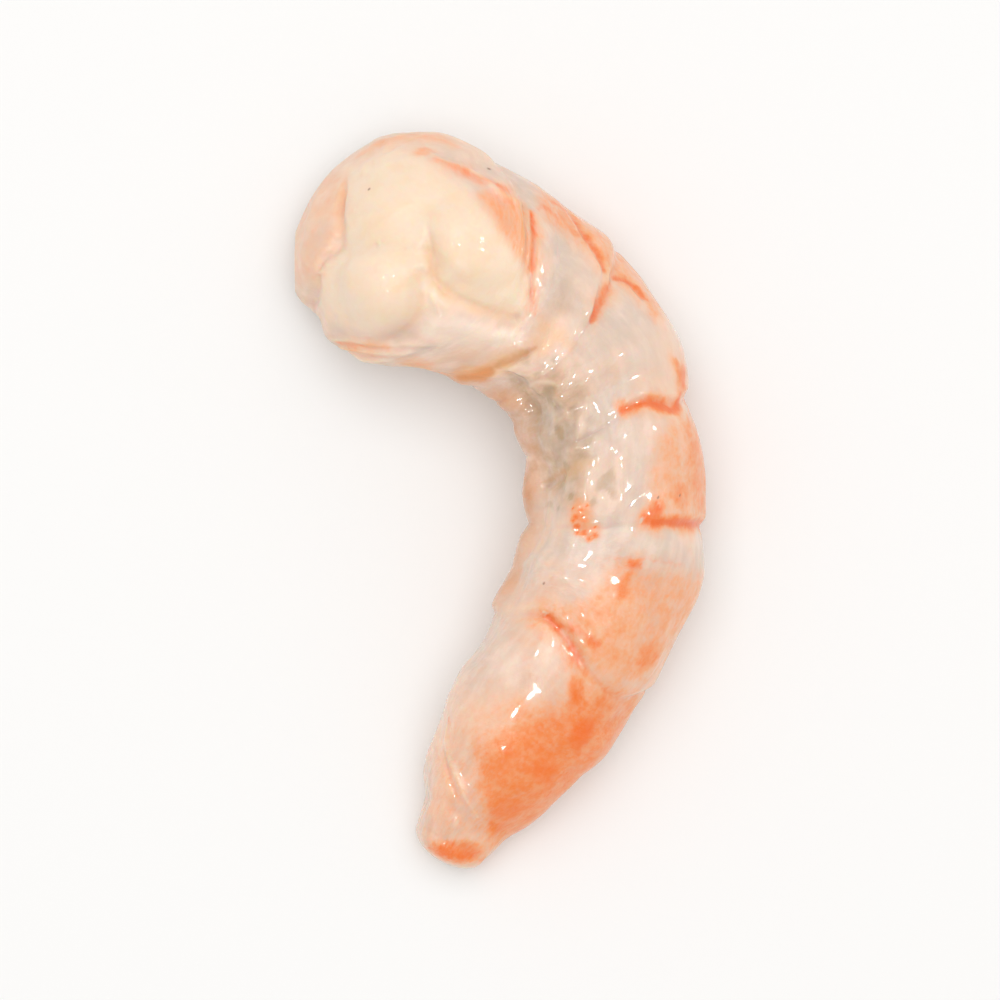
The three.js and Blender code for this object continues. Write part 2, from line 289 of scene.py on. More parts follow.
# Colour strokes by mask, seen from above: strength, width and points
COLOUR_STROKES = {
    "red": (
        (0.6, 0.36, ((2.6, 24.4), (2.8, 22.9), (2.8, 21.2), (2.7, 19.4), (2.8, 18.4))),
        (0.35, 0.4, ((2.7, 19.8), (2.8, 18.0), (2.8, 16.4), (2.9, 14.9))),
        (0.4, 0.4, ((-5.7, 28.7), (-4.7, 28.0), (-3.1, 27.4), (-1.4, 26.4), (0.4, 25.7),
                    (2.0, 24.7))),
        (0.4, 0.35, ((2.9, 23.9), (3.9, 24.4), (4.9, 23.4), (4.5, 22.5))),
        (0.6, 0.5, ((3.7, 25.2), (5.5, 24.4), (6.7, 22.6), (7.8, 21.1), (8.5, 19.6), (9.0, 18.6))),
        (0.6, 0.4, ((9.4, 18.7), (8.8, 17.1), (8.0, 15.8), (7.6, 14.1))),
        (0.7, 0.4, ((9.2, 18.6), (10.5, 18.3), (11.6, 17.8), (12.1, 16.9), (12.8, 16.6))),
        (0.85, 0.38, ((9.7, 7.0), (10.6, 7.4), (11.8, 7.8), (12.8, 7.8), (13.8, 7.5), (14.9, 7.0))),
        (1.0, 0.5, ((12.4, 7.8), (13.6, 7.7), (14.3, 7.4), (14.8, 7.7), (15.2, 8.6))),
        (0.6, 0.6, ((14.9, 7.9), (15.3, 9.2), (15.5, 10.4), (15.4, 11.6))),
        (0.8, 0.65, ((11.9, -1.8), (12.8, -1.3), (13.4, -0.5))),
        (1.0, 0.45, ((12.0, -2.0), (14.4, -1.95), (15.9, -1.9), (17.6, -2.1))),
        (0.3, 0.3, ((8.0, -5.0), (10.9, -5.0), (13.6, -5.3), (16.6, -5.8))),
        (0.6, 0.5, ((10.6, -5.4), (11.3, -5.6), (12.0, -5.4))),
        (0.75, 0.7, ((3.9, -9.5), (4.5, -10.3), (5.2, -11.0))),
        (0.45, 0.55, ((4.8, -10.7), (5.7, -11.9), (6.2, -12.8))),
        (0.65, 0.7, ((5.8, -12.1), (6.3, -13.1), (6.9, -13.9))),
        (0.5, 0.55, ((4.9, -10.2), (6.1, -10.9), (7.5, -11.5), (8.5, -12.4))),
        (0.55, 0.8, ((-6.2, -28.9), (-4.9, -29.5), (-3.1, -29.8), (-1.2, -29.4))),
        (0.4, 0.3, ((-4.2, -18.0), (-3.9, -19.2))),
        (0.35, 0.25, ((-14.0, 12.9), (-12.0, 12.5), (-9.6, 12.2))),
    ),
    "orange": (
        # painted orange shade in the crease where the skin meets the meat
        (0.32, 1.1, ((-12.6, 28.0), (-13.3, 25.4), (-13.4, 23.4), (-13.8, 21.6))),
        # painted orange shade in the crease along the lower edge of the neck
        (0.35, 1.2, ((-9.0, 11.6), (-6.6, 11.2), (-4.6, 10.6), (-2.4, 10.4), (0.0, 10.8))),
        (0.5, 0.5, ((-14.0, 13.4), (-11.6, 12.9), (-8.6, 12.6))),
        # the outer edge of the flank of the third segment
        (0.85, 1.1, ((14.7, 12.2), (15.1, 10.6), (15.6, 8.8), (16.2, 6.6))),
        (0.6, 1.0, ((4.4, 26.0), (6.4, 23.8), (8.2, 21.0), (9.4, 18.8))),
        # the orange rim of the upper edge of the head, with painted shade near the edge
        (0.4, 0.9, ((-12.4, 28.6), (-9.4, 30.2), (-5.8, 30.4), (-2.6, 28.9))),
        # the end of the fourth segment's edge
        (0.6, 0.8, ((6.4, -13.0), (7.6, -14.8), (9.2, -16.0))),
    ),
    "pale_tint_and_highlight": (
        (0.5, 0.35, ((2.2, 9.2), (3.4, 9.6), (4.9, 9.4))),
        (0.5, 0.3, ((-4.1, -17.4), (-4.4, -19.8), (-3.6, -22.4), (-2.8, -24.4))),
        (0.4, 0.8, ((-5.6, -20.4), (-5.4, -23.4), (-4.9, -26.2))),
    ),
    # painted honey shade in the creases of the cut, under the neck and on the belly
    "honey_shade": (
        (0.5, 0.8, ((-5.8, 21.4), (-5.6, 19.2), (-4.8, 17.3), (-2.4, 16.0), (0.2, 15.2),
                    (2.2, 14.9))),
        (0.5, 1.2, ((3.0, 14.5), (4.8, 13.3), (6.4, 12.2))),
        (0.7, 1.0, ((-8.7, 11.6), (-5.7, 10.7), (-2.1, 10.6), (0.6, 11.4), (3.2, 12.4))),
        (0.4, 0.6, ((-12.9, 26.4), (-13.1, 24.0), (-13.4, 21.6))),
        (0.4, 0.6, ((-6.4, 17.6), (-6.4, 15.8), (-7.8, 14.2), (-10.0, 13.0))),
        (0.5, 1.0, ((4.6, 1.0), (6.6, 2.6), (8.6, 3.0))),
    ),
    # painted grey shade in a crease of the belly
    "grey_tint_and_shade": ((0.5, 0.35, ((3.6, 1.0), (4.6, 1.3), (5.8, 2.2))),),
    # painted amber shade in the crease under the neck and in a crease of the belly
    "amber_shade": (
        (0.8, 0.8, ((-6.2, 10.0), (-4.0, 9.9), (-2.0, 10.2), (0.0, 10.9))),
        (0.55, 0.5, ((-0.8, 10.8), (0.8, 11.4), (2.2, 12.0), (3.4, 12.6))),
        (0.5, 0.35, ((3.3, 1.4), (4.4, 1.6), (5.8, 2.5))),
    ),
}
HALO_STRENGTH, HALO_WIDTH = 0.9, 2.6  # of the orange round each red stroke

# Colour patches by mask, seen from above: strength, x, y, half width, half length and turn
COLOUR_PATCHES = {
    "orange": (
        (0.75, 15.2, 0.2, 2.4, 1.8, 0),
        (0.8, 11.2, -5.5, 0.9, 0.5, 0),
        (0.85, 10.4, -7.4, 1.0, 1.8, -15),
        (0.78, 12.4, -13.0, 2.4, 2.4, -29),
        (0.7, 7.3, -11.9, 1.3, 0.9, -30),
        (1.1, 7.0, -19.5, 1.8, 2.6, -32),
        (0.95, 0.9, -26.0, 2.6, 3.2, -32),
        (0.9, 0.2, -27.2, 1.8, 1.8, 0),
        (0.95, 3.8, -22.6, 2.8, 2.6, -32),
        (0.9, 6.5, -16.2, 1.1, 2.4, 0),
        (0.6, 2.2, -18.2, 2.6, 2.0, -32),
        (0.6, -1.2, -21.0, 2.0, 3.0, -20),
        (0.5, -6.2, 29.0, 1.2, 0.6, 0),
        (0.9, -3.6, -29.5, 3.4, 1.4, 0),
        (0.65, 6.8, -1.6, 1.2, 1.6, 0),
        (0.6, 7.4, -2.8, 1.3, 0.9, 0),
    ),
    "grey_tint_and_shade": (
        (0.95, 4.3, 8.8, 1.5, 1.0, 25),
        (0.5, 5.9, 10.2, 1.8, 1.0, 20),
        (0.6, 1.6, 9.7, 1.4, 0.7, -20),
        (0.65, 5.4, 6.0, 1.3, 1.6, 10),
        (0.45, 7.2, 4.6, 1.6, 0.8, 30),
        (0.5, 4.4, 2.6, 1.0, 1.8, 10),
    ),
    "pale_tint_and_highlight": (
        (0.5, 2.6, 10.7, 1.6, 0.5, -15),
        (0.5, 4.4, 7.0, 0.5, 1.2, 10),
        (0.5, 6.9, 6.0, 0.5, 1.4, 0),
        (0.5, 7.6, 1.6, 1.2, 1.6, 0),
        (0.45, 11.3, 11.4, 2.6, 2.4, 0),
        # pale front of the tail, with a painted highlight on it
        (0.6, 0.6, -13.6, 2.6, 2.4, -30),
    ),
    # painted honey shade in hollows of the belly and at the end of the crease under the neck
    "honey_shade": ((0.25, 8.6, 1.0, 2.6, 3.4, 0), (0.5, 3.4, 12.6, 2.0, 1.2, 0)),
}
# The orange on the back: its strength, and how far it reaches before and behind each seam
BACK_ORANGE, BACK_BEFORE, BACK_BEHIND = 0.7, 2.2, 0.35
# The amber shade painted inside the curl, where the flank turns down and away: its strength,
# degrees round from the back, spread in degrees, how patchy it is, the size of the patches, and the
# rows over which it comes and goes
INNER_SHADE, INNER_AT, INNER_WIDTH = 0.8, 214, 30
INNER_PATCHINESS, INNER_PATCH_SIZE = 0.6, 3.0
INNER_STARTS, INNER_GROWS, INNER_ENDS, INNER_FADES = 8, 6, 54, 16
FILM_STARTS, FILM_GROWS = 0.35, 0.5  # how level the skin is where the water on it ripples more

# Small red dots (x, y and radius) and dark specks (x and y), seen from above
RED_DOTS = (
    (6.85, -0.96, 0.16),
    (6.3, -1.5, 0.2),
    (6.2, -1.9, 0.16),
    (6.5, -2.3, 0.26),
    (6.9, -1.6, 0.13),
    (6.5, -2.9, 0.16),
    (7.05, -2.95, 0.24),
    (7.5, -3.35, 0.18),
    (8.0, -3.1, 0.2),
    (7.3, -0.6, 0.12),
    (7.9, -2.5, 0.12),
    (6.1, -0.9, 0.11),
)
DOT_STRENGTH = 0.75
DARK_SPECKS = ((3.8, -7.1), (13.3, 0.0), (15.1, 0.3), (-10.8, 25.7), (-0.8, 27.3))
DARK_SPECK_RADIUS = 0.17

# Mesh fineness
COLUMNS = 240
FACE_ROWS = 64
SKIN_ROWS = 324
TIP_ROWS = 14
LENGTH_DIVISIONS = 600
RIM_ROWS, RIM_ROUNDS = 8, 90  # how widely and how often the rim of the cut is evened out


def smooth(t):
    """0 below 0, 1 above 1 and a soft step between."""
    t = np.clip(t, 0, 1)
    return t * t * (3 - 2 * t)


def bell(distance, width):
    return np.exp(-((distance / width) ** 2))


def curve_through(values, t):
    """The uniform Catmull-Rom curve through the rows of values, at t from 0 to 1."""
    last = len(values) - 1
    padded = np.vstack([2 * values[0] - values[1], values, 2 * values[-1] - values[-2]])
    place = np.clip(t, 0, 1) * last
    i = np.minimum(place.astype(int), last - 1)
    w = (place - i)[:, None]
    before, start, end, after = (padded[i + k] for k in range(4))
    v0, v1 = (end - before) / 2, (after - start) / 2
    cubic = (2 * start - 2 * end + v0 + v1) * w + (3 * end - 3 * start - 2 * v0 - v1)
    return (cubic * w + v0) * w + start


MEASURE_T = np.linspace(0, 1, LENGTH_DIVISIONS + 1)
MEASURE_STEPS = np.diff(curve_through(STATIONS, MEASURE_T)[:, :2], axis=0)
MEASURE_LENGTHS = np.concatenate([[0], np.cumsum(np.hypot(*MEASURE_STEPS.T))])
ROUTE_LENGTH = MEASURE_LENGTHS[-1]


def sections_at(distance):
    """Centre, back, side, tangent and half sizes of the sections at these distances."""
    t = np.interp(distance, MEASURE_LENGTHS, MEASURE_T)
    x, y, depth, thick, roll, tilt, lift = curve_through(STATIONS, t).T
    roll, tilt = np.radians(roll), np.radians(tilt)
    nudge = 1e-4
    ahead = curve_through(STATIONS, t + nudge)[:, :2] - curve_through(STATIONS, t - nudge)[:, :2]
    ahead /= np.linalg.norm(ahead, axis=1)[:, None]
    flat = np.zeros_like(t)
    tangent = np.stack([ahead[:, 0], ahead[:, 1], flat], 1)
    outer = np.stack([-ahead[:, 1], ahead[:, 0], flat], 1)
    up = tangent * np.sin(tilt)[:, None] + np.stack([flat, flat, np.cos(tilt)], 1)
    back = outer * np.cos(roll)[:, None] - up * np.sin(roll)[:, None]
    side = up * np.cos(roll)[:, None] + outer * np.sin(roll)[:, None]
    half = np.stack([depth, thick], 1) / 2
    low = np.hypot(half[:, 0] * back[:, 2], half[:, 1] * side[:, 2])
    centre = np.stack([x, y, low + lift - FLATTENING], 1)
    return centre, back, side, tangent, half


def noise_at(points, size, seed=0):
    """Smooth noise from about -1 to 1 with lumps of this size, at each of the points."""
    shift = Vector((17.3 * seed, -9.1 * seed, 5.7 * seed))
    return np.array([noise.noise(Vector(p) / size + shift) for p in points])


def unrolled(row, angle, share=1):
    """Places on a straight round bar, at this share of its radius, that match the bent body's."""
    across = BAR_RADIUS * share
    return np.stack([row, across * np.cos(angle), across * np.sin(angle)], 1)


def segment_relief(row, angle):
    """The step from each segment to the next, the fold under it, and the swell between seams."""
    index = np.clip(np.searchsorted(SEAMS, row, side="right") - 1, 0, len(SEAMS) - 1)
    is_tail = index == len(SEAMS) - 1
    rears = np.append(SEAMS[1:], ROUTE_LENGTH + TIP_LENGTH)
    through = (row - SEAMS[index]) / (rears[index] - SEAMS[index])
    fall = np.where(is_tail, 1, smooth((1 - through) / SEGMENT_FALL))
    from_back = np.degrees(np.minimum(angle, 2 * np.pi - angle))
    faded = smooth((from_back - np.interp(row, SEAMS[1:], SEAM_FADES)) / SEAM_FADE_WIDTH)
    share = 1 - (1 - BELLY_SEAM_SHARE) * faded
    step = SEAM_DEPTH * share * (smooth(through / SEGMENT_RISE) * fall - 0.5)
    to_seam = np.abs(row[:, None] - SEAMS[None, 1:]).min(1)
    crease = CREASE_DEPTH * share * bell(to_seam, CREASE_WIDTH)
    return step - crease, np.sqrt(np.clip(np.sin(np.pi * through), 0, 1))


def belly_relief(row, angle, swell):
    """Muscle lobes, groove and nerve cord of the belly."""
    from_belly = np.degrees(np.abs(angle - np.pi))
    lobe = LOBE_HEIGHT * swell * bell(from_belly - LOBE_FROM_BELLY, LOBE_WIDTH)
    groove = GROOVE_DEPTH * bell(from_belly, GROOVE_WIDTH)
    cord = CORD_HEIGHT * bell(from_belly, CORD_WIDTH)
    start = smooth((row - BELLY_STARTS) / BELLY_GROWS)
    end = 1 - smooth((row - BELLY_ENDS) / BELLY_FADES)
    return start * end * (lobe - groove + cord)


def end_relief(row, angle):
    """The rim of the cut, the fuller side of the neck and the crease at the tail."""
    upper_share = smooth(0.8 * (1 + np.sin(angle)))
    lip = LIP_HEIGHT * bell(row, LIP_WIDTH) * upper_share
    aside = bell(np.degrees(angle) - HOLLOW_AT, HOLLOW_WIDTH)
    hollow = HOLLOW_DEPTH * bell(row, HOLLOW_LENGTH) * aside
    pinch = PINCH_DEPTH * bell(row - (ROUTE_LENGTH - PINCH_BEFORE_END), PINCH_WIDTH)
    round_from_back = (np.degrees(angle) + 180) % 360 - 180
    outer = bell(round_from_back - NECK_AROUND, NECK_WIDTH)
    neck = NECK_RISE * bell(row - NECK_AT, NECK_LENGTH) * outer
    return lip - hollow - pinch + neck


def gut_relief(row, angle):
    """The shallow groove along the back, which fades out at both ends."""
    from_back = np.degrees(np.minimum(angle, 2 * np.pi - angle))
    start = smooth((row - GUT_STARTS) / GUT_GROWS)
    end = smooth((ROUTE_LENGTH - GUT_ENDS - row) / GUT_FADES)
    return -GUT_DEPTH * bell(from_back, GUT_WIDTH) * (start * end)


def relief(row, angle):
    """How far the flesh stands out from the smooth tube."""
    step, swell = segment_relief(row, angle)
    slow = np.sin(0.9 * row + 2 * angle) + np.sin(0.43 * row - 3 * angle + 1)
    shape = step + belly_relief(row, angle, swell) + end_relief(row, angle)
    shape += gut_relief(row, angle) + UNEVEN_HEIGHT * slow
    places = unrolled(row, angle)
    for seed, (size, height) in enumerate(LUMPS):
        shape += height * noise_at(places, size, seed)
    return shape


def skin_points(row, angle):
    """Points of the skin. Rows lean forward at the back, as the segments do."""
    window = smooth(row / LEAN_FADE) * smooth((ROUTE_LENGTH - row) / LEAN_FADE)
    stray = SEAM_WANDER * noise_at(unrolled(row / 2, angle), 5.0, seed=7)
    for seam, around, spread, shift in SEAM_BENDS:
        stray += shift * bell(row - seam, BEND_LENGTH) * bell(np.degrees(angle) - around, spread)
    along = row + window * (stray - SEAM_LEAN * np.cos(angle))
    centre, back, side, _, half = sections_at(along)
    height = relief(row, angle)
    reach = (half + height[:, None]) * np.stack([np.cos(angle), np.sin(angle)], 1)
    return centre + back * reach[:, :1] + side * reach[:, 1:]


def lobe_heights(p, q):
    """The lobes of the cut face, with soft creases between them."""
    total = np.zeros_like(p)
    for lobe_p, lobe_q, radius_p, radius_q, height in FACE_LOBES:
        off = np.hypot((p - lobe_p) / radius_p, (q - lobe_q) / radius_q)
        total += (height * np.exp(-(off**LOBE_ROUNDNESS))) ** LOBE_BLEND
    return total ** (1 / LOBE_BLEND)


def face_points(reach, angle):
    """Points of the cut at the head end: reach is 0 at its middle and 1 at its rim.

    Each line from the rim to the middle leaves the rim straight on from the skin and ends level.
    """
    flat = np.zeros_like(reach)
    centre, back, side, _, half = sections_at(flat)
    outward = np.cross(side, back)
    rim = skin_points(flat, angle)
    leaving = rim - skin_points(flat + 0.5, angle)
    leaving *= (ROUND_HANDLE * FACE_DOME / np.linalg.norm(leaving, axis=1))[:, None]
    arriving = ROUND_HANDLE * (centre - rim)
    s = (1 - reach)[:, None]
    dome = rim * (2 * s**3 - 3 * s**2 + 1) + leaving * (s**3 - 2 * s**2 + s)
    dome += (centre + outward * FACE_DOME) * (3 * s**2 - 2 * s**3) + arriving * (s**3 - s**2)
    p = ((dome - centre) * back).sum(1) / half[:, 0]
    q = ((dome - centre) * side).sum(1) / half[:, 1]
    height = FACE_RELIEF * lobe_heights(p, q) * smooth((1 - reach - FACE_STARTS) / FACE_GROWS)
    places = np.stack([9 * p, 9 * q, flat], 1)
    for seed, (size, lump) in enumerate(LUMPS):
        height += lump * noise_at(places, size, seed + 20) * smooth((1 - reach) / 0.2)
    return dome + outward * height[:, None]


def tip_points(turn, angle):
    """Points of the tail's rounded end: turn is 0 at the last section and 1 at the tip."""
    at_end = np.full_like(turn, ROUTE_LENGTH)
    centre, _, _, tangent, _ = sections_at(at_end)
    bend = turn * np.pi / 2
    rim = skin_points(at_end, angle)
    out = tangent * (TIP_LENGTH * np.sin(bend))[:, None]
    return centre + (rim - centre) * np.cos(bend)[:, None] + out


def grid(values):
    """Every value with every angle, as two flat arrays."""
    angles = np.linspace(0, 2 * np.pi, COLUMNS, endpoint=False)
    return np.repeat(values, COLUMNS), np.tile(angles, len(values))


def smooth_surface():
    """Points from the middle of the cut to the tip of the tail, with their rows and angles."""
    reach, face_angle = grid(np.arange(1, FACE_ROWS) / FACE_ROWS)
    row, skin_angle = grid(np.linspace(0, ROUTE_LENGTH, SKIN_ROWS))
    turn, tip_angle = grid(np.arange(1, TIP_ROWS) / TIP_ROWS)
    zero = np.zeros(1)
    face_row = FACE_BAR * (reach**2 - 1)
    tip_row = ROUTE_LENGTH + TIP_LENGTH * turn
    last_row = zero + tip_row[-1]
    face_places = unrolled(face_row, face_angle, reach)
    tip_places = unrolled(tip_row, tip_angle, np.cos(turn * np.pi / 2))
    parts = [
        (face_points(zero, zero), zero, zero, unrolled(zero - FACE_BAR, zero, 0)),
        (face_points(reach, face_angle), 0 * reach, face_angle, face_places),
        (skin_points(row, skin_angle), row, skin_angle, unrolled(row, skin_angle)),
        (tip_points(turn, tip_angle), tip_row, tip_angle, tip_places),
        (tip_points(zero + 1, zero), last_row, zero, unrolled(last_row, zero, 0)),
    ]
    points, row, angle, places = (np.concatenate(column) for column in zip(*parts))
    return eased_rim(points), row, angle, places


def eased_rim(points):
    """The same points, with the sharp turn at the rim of the cut evened out."""
    rings = points[1:-1].reshape(-1, COLUMNS, 3)
    share = 0.5 * bell(np.arange(len(rings)) - (FACE_ROWS - 1), RIM_ROWS)[:, None, None]
    for _ in range(RIM_ROUNDS):
        between = (rings[:-2] + rings[2:]) / 2
        rings[1:-1] += share[1:-1] * (between - rings[1:-1])
    return np.vstack([points[:1], rings.reshape(-1, 3), points[-1:]])


def ring_faces(ring_count):
    """Quads between neighbouring rings, and a fan of triangles at each pole."""
    step = np.arange(COLUMNS)
    following = (step + 1) % COLUMNS
    quads = []
    for ring in range(ring_count - 1):
        near, far = 1 + ring * COLUMNS, 1 + (ring + 1) * COLUMNS
        quads.append(np.stack([near + step, near + following, far + following, far + step], 1))
    last_ring, last = 1 + (ring_count - 1) * COLUMNS, 1 + ring_count * COLUMNS
    first_fan = [(0, 1 + b, 1 + a) for a, b in zip(step, following)]
    last_fan = [(last, last_ring + a, last_ring + b) for a, b in zip(step, following)]
    return first_fan + np.vstack(quads).tolist() + last_fan


class Marks:
    """Strokes and patches laid on a surface, given by where they show from straight above."""

    STEP = 0.25  # spacing of the places along a stroke
    REACH = 4  # widths from a stroke at which it has faded away
    RAGGED, RAGGED_SIZE = 0.6, 1.4  # how much the width of a stroke varies, and over what length
    END_WIDTH, END_STRENGTH = 0.35, 0.2  # what is left of a stroke at its ends
    UNDER_STARTS, UNDER_GROWS = -0.8, 0.6  # the skin's lean where an area fades on the underside

    def __init__(self, points, normals):
        self.points = points
        self.normals = normals
        self.upper = np.flatnonzero(normals[:, 2] > 0.1)

    def below(self, plan):
        """The surface points under these places seen from above."""
        seen = self.points[self.upper]
        nearest = [np.argmin(((seen[:, :2] - place) ** 2).sum(1)) for place in plan]
        return seen[nearest]

    def stroke(self, width, plan):
        """A line that thins out at both ends."""
        plan = np.array(plan, float)
        length = np.linalg.norm(np.diff(plan, axis=0), axis=1).sum()
        places = curve_through(plan, np.linspace(0, 1, max(int(length / self.STEP), 4)))
        level = self.below(places)[:, 2]
        level = np.convolve(np.pad(level, 2, "edge"), np.full(5, 0.2), "valid")
        trail = np.column_stack([places, level])
        starts, steps = trail[:-1], np.diff(trail, axis=0)
        margin = self.REACH * width
        low, high = trail.min(0) - margin, trail.max(0) + margin
        near = np.flatnonzero(((self.points > low) & (self.points < high)).all(1))
        off = self.points[near][:, None] - starts
        share = np.clip((off * steps).sum(2) / (steps**2).sum(1), 0, 1)
        apart = np.linalg.norm(off - share[..., None] * steps, axis=2)
        t = (np.arange(len(starts)) + share) / len(starts)
        thinning = np.sqrt(np.clip(np.sin(np.pi * t), 0, 1))
        widths = width * (self.END_WIDTH + (1 - self.END_WIDTH) * thinning)
        ragged = 1 + self.RAGGED * noise_at(self.points[near], self.RAGGED_SIZE, seed=11)
        nearest = (apart / widths).argmin(1)[:, None]
        apart = np.take_along_axis(apart / widths, nearest, 1)[:, 0]
        t = np.take_along_axis(t, nearest, 1)[:, 0]
        strength = self.END_STRENGTH + (1 - self.END_STRENGTH) * smooth(3 * np.sin(np.pi * t))
        mask = np.zeros(len(self.points))
        mask[near] = np.exp(-((apart / ragged) ** 2)) * strength
        return mask

    def patch(self, x, y, half_width, half_length, turn=0):
        """A soft oval, turned anticlockwise by this many degrees."""
        middle = self.below([(x, y)])[0]
        off = self.points - middle
        c, s = math.cos(math.radians(turn)), math.sin(math.radians(turn))
        across, along = off[:, 0] * c + off[:, 1] * s, off[:, 1] * c - off[:, 0] * s
        depth = 2 * off[:, 2] / (half_width + half_length)
        apart = (across / half_width) ** 2 + (along / half_length) ** 2 + depth**2
        return np.exp(-(apart**1.5))

    def inside(self, outline, softness):
        """1 on the upper side inside the outline and 0 outside it, with a soft edge."""
        plan = self.points[:, :2]
        start = np.array(outline)
        nearest = np.full(len(plan), np.inf)
        within = np.zeros(len(plan), bool)
        for a, b in zip(start, np.roll(start, -1, axis=0)):
            along = np.clip((plan - a) @ (b - a) / ((b - a) @ (b - a)), 0, 1)
            gap = np.linalg.norm(plan - a - along[:, None] * (b - a), axis=1)
            nearest = np.minimum(nearest, gap)
            crosses = (a[1] > plan[:, 1]) != (b[1] > plan[:, 1])
            crossing = a[0] + (plan[:, 1] - a[1]) / (b[1] - a[1] + 1e-9) * (b[0] - a[0])
            within ^= crosses & (plan[:, 0] < crossing)
        signed = np.where(within, nearest, -nearest)
        above = smooth((self.normals[:, 2] - self.UNDER_STARTS) / self.UNDER_GROWS)
        return smooth(0.5 + signed / softness) * above


def back_orange(row, angle):
    """The orange that gathers on the back towards the rear edge of each segment."""
    on_back = smooth((np.cos(angle) - 0.1) / 0.8)
    seams = np.append(SEAMS[1:], ROUTE_LENGTH)
    before = seams[None] - row[:, None]
    gathered = np.exp(np.where(before > 0, -before / BACK_BEFORE, before / BACK_BEHIND))
    return on_back * gathered.max(1)


def colour_masks(marks, row, angle):
    names = ("meat", "orange", "red", "pale_tint_and_highlight", "grey_tint_and_shade", "honey_shade", "amber_shade", "dark")
    masks = {name: np.zeros(len(row)) for name in names}

    def add(name, mask):
        masks[name] = np.maximum(masks[name], mask)

    add("meat", marks.inside(MEAT, MEAT_SOFTNESS))
    for name, areas in COLOUR_AREAS.items():
        for strength, softness, outline in areas:
            add(name, strength * marks.inside(outline, softness))
    for name, strokes in COLOUR_STROKES.items():
        for strength, width, plan in strokes:
            add(name, strength * marks.stroke(width, plan))
    for strength, width, plan in COLOUR_STROKES["red"]:
        add("orange", HALO_STRENGTH * strength * marks.stroke(width * HALO_WIDTH, plan))
    for name, patches in COLOUR_PATCHES.items():
        for strength, *oval in patches:
            add(name, strength * marks.patch(*oval))
    for x, y, radius in RED_DOTS:
        add("red", DOT_STRENGTH * marks.patch(x, y, radius, radius))
        add("orange", HALO_STRENGTH * marks.patch(x, y, 2 * radius, 2 * radius))
    for x, y in DARK_SPECKS:
        add("dark", marks.patch(x, y, DARK_SPECK_RADIUS, DARK_SPECK_RADIUS))
    add("orange", BACK_ORANGE * back_orange(row, angle))
    # painted amber shade along the inside of the curl
    inner = bell(np.degrees(angle) - INNER_AT, INNER_WIDTH)
    inner *= smooth((row - INNER_STARTS) / INNER_GROWS) * smooth((INNER_ENDS - row) / INNER_FADES)
    patchy = 1 + INNER_PATCHINESS * noise_at(marks.points, INNER_PATCH_SIZE, seed=12)
    add("amber_shade", INNER_SHADE * patchy * inner)
    # painted grey shade in the hollows of the first crumples, over the grey-green of the belly
    for seed, (x, y, radius, size, _) in enumerate(CRUMPLES[:SHADED_CRUMPLES]):
        valley_shade = smooth(-VALLEY_SHADE_CONTRAST * noise_at(marks.points, size, seed + CRUMPLE_SEED))
        add("grey_tint_and_shade", VALLEY_SHADE_STRENGTH * valley_shade * marks.patch(x, y, radius, radius))
    masks["film"] = smooth((marks.normals[:, 2] - FILM_STARTS) / FILM_GROWS)
    masks["matte"] = marks.inside(MATTE, MATTE_SOFTNESS)
    return masks


def vertex_values(mesh, attribute, size=3):
    values = np.empty(len(mesh.vertices) * size)
    mesh.vertices.foreach_get(attribute, values)
    return values.reshape(-1, size)


def raised(points, normals):
    """The surface with its swellings, folds and creases."""
    marks = Marks(points, normals)
    height = np.zeros(len(points))
    for x, y, radius, rise in SWELLINGS:
        height += rise * marks.patch(x, y, radius, radius)
    for seed, (x, y, radius, size, rise) in enumerate(CRUMPLES):
        lumps = noise_at(points, size, seed + CRUMPLE_SEED)
        height += rise * marks.patch(x, y, radius, radius) * lumps
    for rise, width, plan in RELIEF_STROKES:
        height += rise * marks.stroke(width, plan)
    points = points + normals * height[:, None]
    low, high = (np.array(corner) / MM for corner in cad_box)
    return np.clip(points, low, high)


def shrimp_object(material):
    points, row, angle, bar_places = smooth_surface()
    mesh = bpy.data.meshes.new("shrimp_flesh")
    mesh.from_pydata(points.tolist(), [], ring_faces((len(points) - 2) // COLUMNS))
    points = raised(points, vertex_values(mesh, "normal"))
    mesh.vertices.foreach_set("co", points.ravel())
    mesh.update()
    masks = colour_masks(Marks(points, vertex_values(mesh, "normal")), row, angle)
    for name, mask in masks.items():
        mesh.attributes.new(name, "FLOAT", "POINT").data.foreach_set("value", mask)
    bar = mesh.attributes.new("bar", "FLOAT_VECTOR", "POINT")
    bar.data.foreach_set("vector", bar_places.ravel())
    mesh.vertices.foreach_set("co", (points * MM).ravel())
    mesh.polygons.foreach_set("use_smooth", [True] * len(mesh.polygons))
    mesh.materials.append(material)
    mesh.update()
    piece = bpy.data.objects.new("shrimp_flesh", mesh)
    bpy.context.collection.objects.link(piece)
    return piece


# Colours of the flesh as they look in daylight, and of the shade painted on it, in sRGB from 0 to
# 255
GREY_PINK = (222, 201, 186)
WARM_PINK = (240, 206, 182)
CREAM = (253, 225, 202)
WHITISH = (252, 230, 214)
ORANGE = (253, 162, 90)
DEEP_ORANGE = (247, 116, 24)
RED_ORANGE = (246, 114, 36)
HONEY_SHADE = (236, 184, 126)
AMBER_SHADE = (208, 138, 80)
GREY_GREEN = (174, 142, 102)
BUTTER = (250, 212, 174)
DARK_BROWN = (110, 74, 56)

